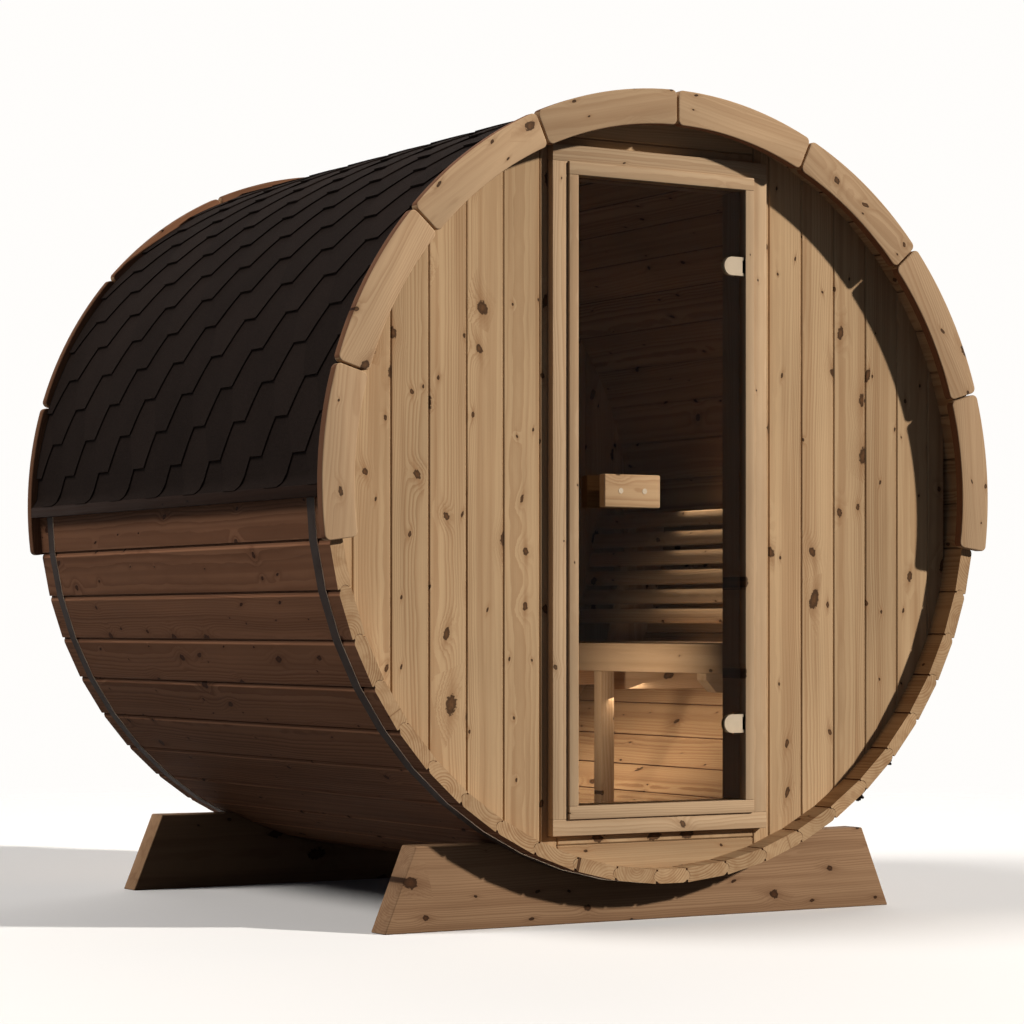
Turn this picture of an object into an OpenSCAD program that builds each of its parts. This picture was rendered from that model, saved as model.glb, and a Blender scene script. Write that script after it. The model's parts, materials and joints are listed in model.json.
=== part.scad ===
// Barrel sauna lying on two saddle cradles: staves, recessed end walls,
// a framed glass door in the front wall, a shingled roof half and a bench.
// Millimetres. +X right, +Y from the door end to the back, +Z up.
// The origin lies on the ground under the middle of the barrel.

/* [Barrel] */
// Outer diameter over the stave joints
barrel_d = 2050; // [1700:10:2600]
// Length of the staves
barrel_len = 1800; // [1400:10:3000]
// Thickness of a stave
stave_t = 37; // [28:1:50]
// Number of staves round the barrel
stave_n = 50; // [40, 50, 60]
// Width of the first stave, at the bottom, as an angle
first_stave_angle = 5.6; // [4:0.1:7]
// Gap between the barrel and the ground
ground_gap = 102; // [60:1:180]

/* [End walls] */
// Depth of each end wall inside the stave ends
wall_recess = 70; // [60:1:200]
// Thickness of the end walls
wall_t = 38; // [28:1:60]

/* [Door frame] */
// Width over the outer frame
frame_w = 680; // [600:1:800]
// Gap between the corners of the outer frame and the staves
frame_corner_gap = 32; // [15:1:80]
// Face width of the outer side posts
post_face = 46; // [30:1:70]
// Face height of the header and the sill
header_face = 43; // [30:1:70]
// How far the outer frame stands out of the wall
frame_proud = 24; // [15:1:60]
// How far the frame stands out behind the wall
frame_inside = 40; // [10:1:80]
// How far the inner frame stands out of the outer one
inner_proud = 8; // [4:1:25]
// Face width of the inner frame's sides
inner_side_face = 29; // [20:1:45]
// Face height of the inner frame's top and bottom
inner_end_face = 34; // [20:1:45]

/* [Door] */
// Thickness of the glass
glass_t = 8; // [6:1:12]
// Depth of the glass behind the inner frame's face
glass_recess = 10; // [6:1:30]
// Gap round the glass at its top, bottom and free side
glass_gap = 6; // [5.5:0.5:10]
// Distance from the hinge pin to the inner frame
pin_to_frame = 14; // [13:1:20]
// How far the glass runs past the hinge pin
glass_past_pin = 2; // [1:0.5:3]
// Distance from the top and bottom of the glass to the middle of a hinge
hinge_inset = 199; // [60:1:300]

/* [Hinges] */
// Height of a hinge
hinge_h = 50; // [40:1:70]
// Radius of the hinge pin
pin_r = 3.5; // [2.5:0.5:4]
// Radius of the hinge knuckle
knuckle_r = 6.5; // [6:0.5:7]
// Thickness of the plates that clamp the glass
clamp_t = 3; // [2:0.5:4]
// Distance from the hinge pin to the round end of a clamp plate
clamp_reach = 53; // [40:1:80]
// Width of the plates let into the frame
plate_w = 24; // [18:1:30]
// Thickness of the plates let into the frame
plate_t = 3; // [2:0.5:5]

/* [Handles] */
// Length of a handle block
handle_len = 174; // [120:1:220]
// Height of a handle block
handle_h = 86; // [60:1:110]
// Thickness of a handle block
handle_t = 27; // [18:1:35]
// Distance from the glass to a handle block
handle_standoff = 26; // [15:1:35]
// Distance from the free side of the glass to a handle block
handle_inset = 45; // [20:1:90]
// Distance between the two handle bolts
bolt_spacing = 74; // [50:1:90]
// Diameter of the handle bolts
bolt_d = 12; // [6:1:16]

/* [Catch] */
// Width of the catch
catch_w = 13; // [8:1:20]
// Height of the catch
catch_h = 31; // [20:1:60]
// Depth of the catch
catch_t = 20; // [10:1:30]

/* [End rings] */
// Face width of the ring boards
ring_w = 92; // [60:1:140]
// Thickness of the ring boards
ring_t = 28; // [18:1:40]
// How far the ring stands out beyond the staves
ring_over = 25; // [20:1:45]
// Angle covered by one ring board
ring_board_angle = 24.5; // [20:0.1:25.6]
// Rounding of the ring boards' corners
ring_corner_r = 15; // [4:1:22]
// Gap between ring boards
ring_gap = 5; // [2:0.5:10]

/* [Roof] */
// Thickness of the shingle layers
roof_t = 12; // [6:1:16]
// Height of the laths under the roof's lower edges
eave_lath_h = 30; // [20:1:50]
// Height of the eave above the barrel's axis
eave_z = -3; // [-20:1:20]
// How far the shingles hang over the eave laths
drip = 3; // [1:1:6]
// Height over which the shingles flare out at the eave
flare_h = 29; // [15:1:50]

/* [Bands] */
// Width of a steel band
band_w = 40; // [20:1:60]
// Thickness of a steel band
band_t = 2; // [1:0.5:4]
// Distance from the stave ends to the middle of a band
band_inset = 82; // [50:1:150]
// Angle from straight down to the middle of the band's bolt
bolt_angle = 43.15; // [36:0.05:70]
// Angle between the two ears that the bolt pulls together
ear_spread = 7.1; // [5:0.1:10]
// Height of the ears
ear_h = 52; // [35:1:60]
// Thickness of the ears
ear_t = 6; // [4:1:10]
// Diameter of the band bolt
band_bolt_d = 10; // [6:1:14]
// Distance from the tip of an ear to the middle of the bolt
ear_tip = 14; // [10:1:20]
// How far the bolt runs past each ear
bolt_tail = 22; // [12:1:40]

/* [Cradles] */
// Length of a cradle on the ground
cradle_len = 1602; // [1300:1:2000]
// Length of a cradle at its top edge
cradle_top_len = 1420; // [1200:1:1800]
// Height of a cradle
cradle_h = 219; // [180:1:320]
// Thickness of a cradle
cradle_t = 75; // [45:1:120]
// Gap between a band and the cradle beside it
cradle_gap = 4; // [2:1:200]

/* [Bench] */
// Distance from the barrel's axis plane to the bench front
bench_front_x = 300; // [280:1:420]
// Height of the bench top below the barrel's axis
bench_drop = 399; // [300:1:500]
// Height of the board along the bench front
bench_front_h = 82; // [60:1:120]
// Thickness of the bench boards
board_t = 28; // [20:1:40]
// Number of seat boards
seat_boards = 5; // [3:1:7]
// Gap between seat boards
seat_gap = 12; // [5:1:20]
// Gap between the last seat board and the staves
seat_wall_gap = 14; // [8:1:60]
// Height of the cross supports under the seat
support_h = 108; // [60:1:140]
// Thickness of the cross supports
support_t = 45; // [28:1:60]
// Cut at the lower front corner of a cross support
support_chamfer = 35; // [10:1:50]
// Distance from the bench ends to the outer cross supports
support_inset = 160; // [60:1:300]
// Width of the leg, across the barrel
leg_w = 45; // [28:1:70]
// Thickness of the leg, along the barrel
leg_t = 40; // [28:1:70]
// Distance from the middle of the barrel to the leg's back, towards the door
leg_back = 61; // [20:1:200]
// Gap between the bench and the door frame, and the rear wall
bench_end_gap = 6; // [2:1:30]

/* [Backrest] */
// Height of a backrest slat
slat_h = 45; // [30:1:60]
// Thickness of a backrest slat
slat_t = 20; // [12:1:30]
// Number of backrest slats
slat_n = 6; // [3:1:7]
// Distance between backrest slats
slat_pitch = 62; // [50:1:90]
// Height of the lowest slat above the seat
slat_rise = 60; // [20:1:120]
// Distance from the lowest slat's front to the staves
slat_wall_gap = 142; // [110:1:200]
// Lean of the backrest from upright
lean = 13; // [5:1:20]
// Thickness of the posts that carry the slats
back_post_t = 45; // [20:1:60]

/* [Hidden] */

$fn = 48;
wood = [0.66, 0.51, 0.36];
shaded_wood = [0.55, 0.41, 0.28];
dark_wood = [0.40, 0.29, 0.20];
bitumen = [0.17, 0.14, 0.12];
steel = [0.72, 0.70, 0.67];
glass_tint = [0.25, 0.22, 0.20, 0.5];

barrel_r = barrel_d / 2;
inner_r = barrel_r - stave_t;
axis_h = barrel_r + ground_gap;
front_y = -barrel_len / 2;
rear_y = barrel_len / 2;
stave_angle = (360 - first_stave_angle) / (stave_n - 1);
// Joint 0 is the first one on the right of the lowest stave.
top_joint = stave_n / 2 - 1;
side_joint = ceil(stave_n / 4);
group = stave_n / 10;
bottom_group = -ceil(group / 2);
tiny = 0.01;

wall_front_y = front_y + wall_recess;
wall_back_y = wall_front_y + wall_t;
rear_wall_y = rear_y - wall_recess - wall_t;

frame_h = 2 * floor(half_chord(inner_r - frame_corner_gap, frame_w / 2));
frame_face_y = wall_front_y - frame_proud;
frame_back_y = wall_back_y + frame_inside;
inner_face_y = frame_face_y - inner_proud;
inner_w = frame_w - 2 * post_face;
inner_h = frame_h - 2 * header_face;
opening_w = inner_w - 2 * inner_side_face;
opening_h = inner_h - 2 * inner_end_face;

glass_front_y = inner_face_y + glass_recess;
glass_mid_y = glass_front_y + glass_t / 2;
pin_x = opening_w / 2 - pin_to_frame;
glass_left_x = -opening_w / 2 + glass_gap;
glass_right_x = pin_x + glass_past_pin;
glass_half_h = opening_h / 2 - glass_gap;
hinge_rise = glass_half_h - hinge_inset;
pin_play = 0.08;
lug_h = 8;
lug_play = 1.5;
// Clearance that moving pieces keep from the frame.
sweep_gap = 5;
tongue_len = 12;
clamp_lap = 8;
notch_x = pin_x - knuckle_r - tongue_len;
clamp_edge_x = notch_x + clamp_lap;
notch_half_h = hinge_h / 2 + sweep_gap;
tongue_half_h = hinge_h / 2 - lug_h - lug_play;

handle_left_x = glass_left_x + handle_inset;
handle_mid_x = handle_left_x + handle_len / 2;
outer_handle_y = glass_front_y - handle_standoff - handle_t;
inner_handle_y = glass_front_y + glass_t + handle_standoff;
bolt_play = 0.3;

ring_outer_r = barrel_r + ring_over;
ring_inner_r = ring_outer_r - ring_w;
half_ring_boards = 4;
edge_steps = 8;
corner_steps = 4;

eave_x = ring_outer_r;
roof_outer_r = barrel_r + roof_t;
flare_out = 6;
cradle_inset = band_inset + band_w / 2 + cradle_gap;

bench_y0 = frame_back_y + bench_end_gap;
bench_y1 = rear_wall_y - bench_end_gap;
bench_len = bench_y1 - bench_y0;
seat_top_z = -bench_drop;
seat_under_z = seat_top_z - board_t;
seat_x0 = bench_front_x + board_t;
seat_x1 = floor(half_chord(inner_r, seat_under_z)) - seat_wall_gap;
seat_board_w = (seat_x1 - seat_x0 - (seat_boards - 1) * seat_gap) / seat_boards;
support_ys = [
    bench_y0 + support_inset, -leg_back, bench_y1 - support_inset - support_t
];
back_z0 = seat_top_z + slat_rise;
back_x0 = floor(half_chord(inner_r, back_z0)) - slat_wall_gap;
back_len = (slat_n - 1) * slat_pitch + slat_h;

// Half the width of a circle of radius r at the distance d from its centre.
function half_chord(r, d) = sqrt(r * r - d * d);
// Angle of a stave joint, measured from straight down towards +X.
function joint_a(k) = k < 0
    ? -first_stave_angle / 2 + (k + 1) * stave_angle
    : first_stave_angle / 2 + k * stave_angle;
function at(r, a) = [r * sin(a), -r * cos(a)];
function joints(r, k0, k1) = [for (k = [k0:k1]) at(r, joint_a(k))];
function back(list) = [for (i = [len(list) - 1:-1:0]) list[i]];
function arc(c, r, a0, a1, n) =
    [for (i = [0:n]) c + at(r, a0 + (a1 - a0) * i / n)];

// Runs an outline drawn in the front view back from y0 by len.
module run(y0, len) {
    translate([0, y0 + len, axis_h])
        rotate([90, 0, 0])
            linear_extrude(len) children();
}

// A plain block given by its lowest and highest corner, about the axis.
module block(lo, hi) {
    translate([lo[0], lo[1], lo[2] + axis_h]) cube(hi - lo);
}

module bore(y0, len, x, z, r) {
    translate([x, y0, axis_h + z]) rotate([-90, 0, 0]) cylinder(h = len, r = r);
}

// The groups are numbered round the barrel from the bottom one, rightwards.
module stave_group(i) {
    k0 = bottom_group + i * group;
    outer = joints(barrel_r, k0, k0 + group);
    inner = joints(inner_r, k0, k0 + group);
    run(front_y, barrel_len) polygon(concat(outer, back(inner)));
}

module round_outline(r) {
    polygon(joints(r, 0, stave_n - 1));
}
module inside_outline() { round_outline(inner_r); }

module wall_piece(y0, x0, x1, z0, z1) {
    run(y0, wall_t) intersection() {
        inside_outline();
        translate([x0, z0]) square([x1 - x0, z1 - z0]);
    }
}

module bottom_staves() { color(dark_wood) stave_group(0); }
module lower_right_staves() { color(wood) stave_group(1); }
module right_staves() { color(wood) stave_group(2); }
module upper_right_staves() { color(wood) stave_group(3); }
module top_right_staves() { color(wood) stave_group(4); }
module top_staves() { color(wood) stave_group(5); }
module top_left_staves() { color(wood) stave_group(6); }
module upper_left_staves() { color(wood) stave_group(7); }
module left_staves() { color(shaded_wood) stave_group(8); }
module lower_left_staves() { color(shaded_wood) stave_group(9); }

module front_wall_left() {
    color(wood)
        wall_piece(wall_front_y, -barrel_r, -frame_w / 2, -barrel_r, barrel_r);
}
module front_wall_right() {
    color(wood)
        wall_piece(wall_front_y, frame_w / 2, barrel_r, -barrel_r, barrel_r);
}
module front_wall_above_door() {
    color(wood)
        wall_piece(wall_front_y, -frame_w / 2, frame_w / 2, frame_h / 2, barrel_r);
}
module front_wall_below_door() {
    color(wood)
        wall_piece(wall_front_y, -frame_w / 2, frame_w / 2, -barrel_r, -frame_h / 2);
}
module rear_wall() {
    color(wood) run(rear_wall_y, wall_t) inside_outline();
}

module left_post() {
    color(wood) block([-frame_w / 2, frame_face_y, -inner_h / 2],
                      [-inner_w / 2, frame_back_y, inner_h / 2]);
}
module right_post() {
    color(wood) block([inner_w / 2, frame_face_y, -inner_h / 2],
                      [frame_w / 2, frame_back_y, inner_h / 2]);
}
module door_header() {
    color(wood) block([-frame_w / 2, frame_face_y, inner_h / 2],
                      [frame_w / 2, frame_back_y, frame_h / 2]);
}
module door_sill() {
    color(wood) block([-frame_w / 2, frame_face_y, -frame_h / 2],
                      [frame_w / 2, frame_back_y, -inner_h / 2]);
}

module inner_frame_left() {
    color(wood) block([-inner_w / 2, inner_face_y, -opening_h / 2],
                      [-opening_w / 2, frame_back_y, opening_h / 2]);
}
module inner_frame_right() {
    color(wood) difference() {
        block([opening_w / 2, inner_face_y, -opening_h / 2],
              [inner_w / 2, frame_back_y, opening_h / 2]);
        for (s = [-1, 1]) hinge_plate(s, tiny);
    }
}
module inner_frame_top() {
    color(wood) block([-inner_w / 2, inner_face_y, opening_h / 2],
                      [inner_w / 2, frame_back_y, inner_h / 2]);
}
module inner_frame_bottom() {
    color(wood) block([-inner_w / 2, inner_face_y, -inner_h / 2],
                      [inner_w / 2, frame_back_y, -opening_h / 2]);
}

// The plate let into the inner frame's side; extra makes its pocket deeper.
module hinge_plate(s, extra) {
    z = s * hinge_rise;
    block([opening_w / 2 - extra, glass_mid_y - plate_w / 2, z - hinge_h / 2],
          [opening_w / 2 + plate_t, glass_mid_y + plate_w / 2, z + hinge_h / 2]);
}

module upright(z0, z1, r) {
    translate([pin_x, glass_mid_y, axis_h + z0]) cylinder(h = z1 - z0, r = r);
}

module hinge_bracket(s) {
    z = s * hinge_rise;
    color(steel) union() {
        hinge_plate(s, 0);
        for (t = [-1, 1]) {
            lug_z = z + t * (hinge_h / 2 - lug_h / 2);
            block([pin_x, glass_mid_y - knuckle_r, lug_z - lug_h / 2],
                  [opening_w / 2 + tiny, glass_mid_y + knuckle_r, lug_z + lug_h / 2]);
            upright(lug_z - lug_h / 2, lug_z + lug_h / 2, knuckle_r);
        }
        upright(z - hinge_h / 2, z + hinge_h / 2, pin_r);
    }
}
module hinge_brackets() {
    for (s = [-1, 1]) hinge_bracket(s);
}

module clamp_plate(s, y0) {
    z = s * hinge_rise;
    end_x = pin_x - clamp_reach + hinge_h / 2;
    bore(y0, clamp_t, end_x, z, hinge_h / 2);
    block([end_x, y0, z - hinge_h / 2],
          [clamp_edge_x, y0 + clamp_t, z + hinge_h / 2]);
}

module hinge_clamp(s) {
    z = s * hinge_rise;
    color(steel) difference() {
        union() {
            clamp_plate(s, glass_front_y - clamp_t);
            clamp_plate(s, glass_front_y + glass_t);
            block([notch_x, glass_front_y, z - tongue_half_h],
                  [pin_x, glass_front_y + glass_t, z + tongue_half_h]);
            upright(z - tongue_half_h, z + tongue_half_h, knuckle_r);
        }
        upright(z - hinge_h, z + hinge_h, pin_r + pin_play);
    }
}
module hinge_clamps() {
    for (s = [-1, 1]) hinge_clamp(s);
}

module bolt_bores(r) {
    for (t = [-1, 1]) {
        bore(outer_handle_y - tiny, inner_handle_y + handle_t - outer_handle_y + 2 * tiny,
             handle_mid_x + t * bolt_spacing / 2, 0, r);
    }
}

module door_glass() {
    color(glass_tint) difference() {
        block([glass_left_x, glass_front_y, -glass_half_h],
              [glass_right_x, glass_front_y + glass_t, glass_half_h]);
        for (s = [-1, 1]) {
            z = s * hinge_rise;
            block([notch_x, glass_front_y - tiny, z - notch_half_h],
                  [glass_right_x + tiny, glass_front_y + glass_t + tiny, z + notch_half_h]);
        }
        bolt_bores(bolt_d / 2 + bolt_play);
    }
}

module handle_block(y0) {
    color(wood) difference() {
        block([handle_left_x, y0, -handle_h / 2],
              [handle_left_x + handle_len, y0 + handle_t, handle_h / 2]);
        bolt_bores(bolt_d / 2);
    }
}
module outer_handle() { handle_block(outer_handle_y); }
module inner_handle() { handle_block(inner_handle_y); }
module handle_bolts() {
    bolt_len = inner_handle_y + handle_t - outer_handle_y;
    color(steel) for (t = [-1, 1]) {
        bore(outer_handle_y, bolt_len,
             handle_mid_x + t * bolt_spacing / 2, 0, bolt_d / 2);
    }
}

module door_catch() {
    y0 = glass_front_y + glass_t + sweep_gap;
    color(steel) block([-opening_w / 2, y0, -catch_h / 2],
                       [-opening_w / 2 + catch_w, y0 + catch_t, catch_h / 2]);
}

// Outline of one ring board between two angles, with its corners rounded.
function ring_board(a0, a1) = let (
    f = ring_corner_r,
    ro = ring_outer_r - f,
    ri = ring_inner_r + f,
    g = ring_gap / 2,
    so = asin((f + g) / ro),
    si = asin((f + g) / ri)
) concat(
    arc([0, 0], ring_outer_r, a0 + so, a1 - so, edge_steps),
    arc(at(ro, a1 - so), f, a1, a1 + 90, corner_steps),
    arc(at(ri, a1 - si), f, a1 + 90, a1 + 180, corner_steps),
    arc([0, 0], ring_inner_r, a1 - si, a0 + si, edge_steps),
    arc(at(ri, a0 + si), f, a0 + 180, a0 + 270, corner_steps),
    arc(at(ro, a0 + so), f, a0 + 270, a0 + 360, corner_steps)
);

module ring(y0) {
    for (i = [-half_ring_boards:half_ring_boards - 1]) {
        a0 = 180 + i * ring_board_angle;
        run(y0, ring_t) polygon(ring_board(a0, a0 + ring_board_angle));
    }
}
module front_ring() { color(wood) ring(front_y - ring_t); }
module rear_ring() { color(dark_wood) ring(rear_y); }

// Right half of the roof's cross section, from the eave to the ridge.
module roof_half_outline() {
    difference() {
        polygon(concat(
            [[0, eave_z], [eave_x + drip, eave_z], [roof_outer_r + flare_out, eave_z + flare_h]],
            joints(roof_outer_r, side_joint, top_joint),
            [[0, roof_outer_r * cos(stave_angle / 2)]]
        ));
        round_outline(barrel_r);
    }
}
module roof_right() {
    color(bitumen) run(front_y, barrel_len) roof_half_outline();
}
module roof_left() {
    color(bitumen) mirror([1, 0, 0]) run(front_y, barrel_len) roof_half_outline();
}

module eave_lath() {
    run(front_y, barrel_len) difference() {
        translate([0, eave_z - eave_lath_h]) square([eave_x, eave_lath_h]);
        round_outline(barrel_r);
    }
}
module eave_laths() {
    color(dark_wood) {
        eave_lath();
        mirror([1, 0, 0]) eave_lath();
    }
}

// Band round the lower half, ending under the eave laths.
module band(y_mid) {
    run(y_mid - band_w / 2, band_w) intersection() {
        difference() {
            round_outline(barrel_r + band_t);
            round_outline(barrel_r);
        }
        translate([-barrel_d, -barrel_d])
            square([2 * barrel_d, barrel_d + eave_z - eave_lath_h]);
    }
}
module steel_bands() {
    color(steel) {
        band(front_y + band_inset);
        band(rear_y - band_inset);
    }
}

module ear_outline(a) {
    difference() {
        rotate(a) translate([-ear_t / 2, -barrel_r - ear_h]) square([ear_t, ear_h]);
        round_outline(barrel_r + band_t);
    }
}
module tensioner(y_mid) {
    bolt_r = barrel_r + ear_h - ear_tip;
    bolt_half = bolt_r * tan(ear_spread / 2) + bolt_tail;
    union() {
        for (s = [-1, 1]) {
            run(y_mid - band_w / 2, band_w) ear_outline(bolt_angle + s * ear_spread / 2);
        }
        translate([0, y_mid, axis_h]) rotate([0, -bolt_angle, 0])
            translate([-bolt_half, 0, -bolt_r]) rotate([0, 90, 0])
                cylinder(h = 2 * bolt_half, r = band_bolt_d / 2);
    }
}
module band_tensioners() {
    color(steel) {
        tensioner(front_y + band_inset);
        tensioner(rear_y - band_inset);
    }
}

module cradle(y0) {
    color(wood) run(y0, cradle_t) difference() {
        translate([0, -axis_h]) polygon([
            [-cradle_len / 2, 0], [cradle_len / 2, 0],
            [cradle_top_len / 2, cradle_h], [-cradle_top_len / 2, cradle_h]
        ]);
        round_outline(barrel_r);
    }
}
module front_cradle() { cradle(front_y + cradle_inset); }
module rear_cradle() { cradle(rear_y - cradle_inset - cradle_t); }

module bench_seat() {
    color(wood) for (i = [0:seat_boards - 1]) {
        x = seat_x0 + i * (seat_board_w + seat_gap);
        block([x, bench_y0, seat_under_z], [x + seat_board_w, bench_y1, seat_top_z]);
    }
}
module bench_front_board() {
    color(wood) block([bench_front_x, bench_y0, seat_top_z - bench_front_h],
                      [seat_x0, bench_y1, seat_top_z]);
}

module support(y0) {
    z0 = seat_under_z - support_h;
    run(y0, support_t) intersection() {
        inside_outline();
        polygon([
            [seat_x0, seat_under_z], [seat_x0, z0 + support_chamfer],
            [seat_x0 + support_chamfer, z0], [barrel_r, z0],
            [barrel_r, seat_under_z]
        ]);
    }
}
module bench_supports() {
    color(wood) for (y = support_ys) support(y);
}
module bench_leg() {
    color(wood) run(-leg_back - leg_t, leg_t) intersection() {
        inside_outline();
        translate([bench_front_x, -barrel_r])
            square([leg_w, barrel_r + seat_top_z - bench_front_h]);
    }
}

// The backrest's own axes: x runs back from the slats' front, y up along it.
module leaning() {
    translate([back_x0, back_z0]) rotate(-lean) children();
}
module backrest_slats() {
    color(wood) run(bench_y0, bench_len) for (i = [0:slat_n - 1]) {
        leaning() translate([0, i * slat_pitch]) square([slat_t, slat_h]);
    }
}
module backrest_posts() {
    color(wood) for (y = support_ys) {
        run(y, back_post_t) intersection() {
            inside_outline();
            translate([0, seat_top_z]) square(barrel_d);
            leaning() translate([slat_t, -barrel_d])
                square([barrel_d, barrel_d + back_len]);
        }
    }
}

bottom_staves();
lower_left_staves();
lower_right_staves();
left_staves();
right_staves();
upper_left_staves();
upper_right_staves();
top_left_staves();
top_right_staves();
top_staves();
front_wall_left();
front_wall_right();
front_wall_above_door();
front_wall_below_door();
rear_wall();
left_post();
right_post();
door_header();
door_sill();
inner_frame_left();
inner_frame_right();
inner_frame_top();
inner_frame_bottom();
hinge_brackets();
door_catch();
door_glass();
hinge_clamps();
outer_handle();
inner_handle();
handle_bolts();
front_ring();
rear_ring();
roof_left();
roof_right();
eave_laths();
steel_bands();
band_tensioners();
front_cradle();
rear_cradle();
bench_seat();
bench_front_board();
bench_supports();
bench_leg();
backrest_slats();
backrest_posts();
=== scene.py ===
"""Looks of the barrel sauna: boards, shingles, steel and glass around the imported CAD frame."""

import json
import math
import random

import bmesh
import bpy
from mathutils import Matrix, Vector


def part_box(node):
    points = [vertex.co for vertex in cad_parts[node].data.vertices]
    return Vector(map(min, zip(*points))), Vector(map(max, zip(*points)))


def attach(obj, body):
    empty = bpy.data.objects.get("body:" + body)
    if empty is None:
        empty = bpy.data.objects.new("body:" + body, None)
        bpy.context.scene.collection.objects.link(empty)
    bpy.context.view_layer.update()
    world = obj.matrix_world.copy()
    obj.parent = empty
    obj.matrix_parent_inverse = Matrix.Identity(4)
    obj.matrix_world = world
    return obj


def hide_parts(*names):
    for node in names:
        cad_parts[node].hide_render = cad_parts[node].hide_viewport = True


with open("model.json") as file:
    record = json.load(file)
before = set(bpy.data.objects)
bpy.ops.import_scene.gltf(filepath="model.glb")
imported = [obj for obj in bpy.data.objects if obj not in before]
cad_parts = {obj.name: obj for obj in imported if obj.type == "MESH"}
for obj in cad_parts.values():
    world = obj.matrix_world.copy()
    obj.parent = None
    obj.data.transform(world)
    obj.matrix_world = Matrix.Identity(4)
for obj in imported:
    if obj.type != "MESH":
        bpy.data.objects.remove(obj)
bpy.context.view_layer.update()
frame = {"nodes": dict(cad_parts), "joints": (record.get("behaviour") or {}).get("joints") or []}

X, Y, Z = Vector((1, 0, 0)), Vector((0, 1, 0)), Vector((0, 0, 1))


# ---------------------------------------------------------------- places from the frame

def middle(node):
    low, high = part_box(node)
    return (low + high) / 2


AXIS_Z = middle("door_glass").z


def radii(node):
    """Smallest and largest distance of a node's corners from the barrel's axis."""
    found = [math.hypot(v.co.x, v.co.z - AXIS_Z) for v in frame["nodes"][node].data.vertices]
    return min(found), max(found)


def joint_angles(node):
    """The angles of a stave node's joints, in degrees from straight down towards +X."""
    angles = []
    for v in frame["nodes"][node].data.vertices:
        angles.append(math.degrees(math.atan2(v.co.x, AXIS_Z - v.co.z)) % 360)
    if max(angles) - min(angles) > 180:
        angles = [a - 360 if a > 180 else a for a in angles]
    found = []
    for a in sorted(angles):
        if not found or a - found[-1] > 1:
            found.append(a)
    return found


def polar(r, degrees):
    a = math.radians(degrees)
    return Vector((r * math.sin(a), -r * math.cos(a)))


STAVE_IN, STAVE_OUT = radii("top_staves")
RING_IN, RING_OUT = radii("front_ring")
FRONT_Y, REAR_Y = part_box("top_staves")[0].y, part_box("top_staves")[1].y


# ---------------------------------------------------------------- materials

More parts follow.
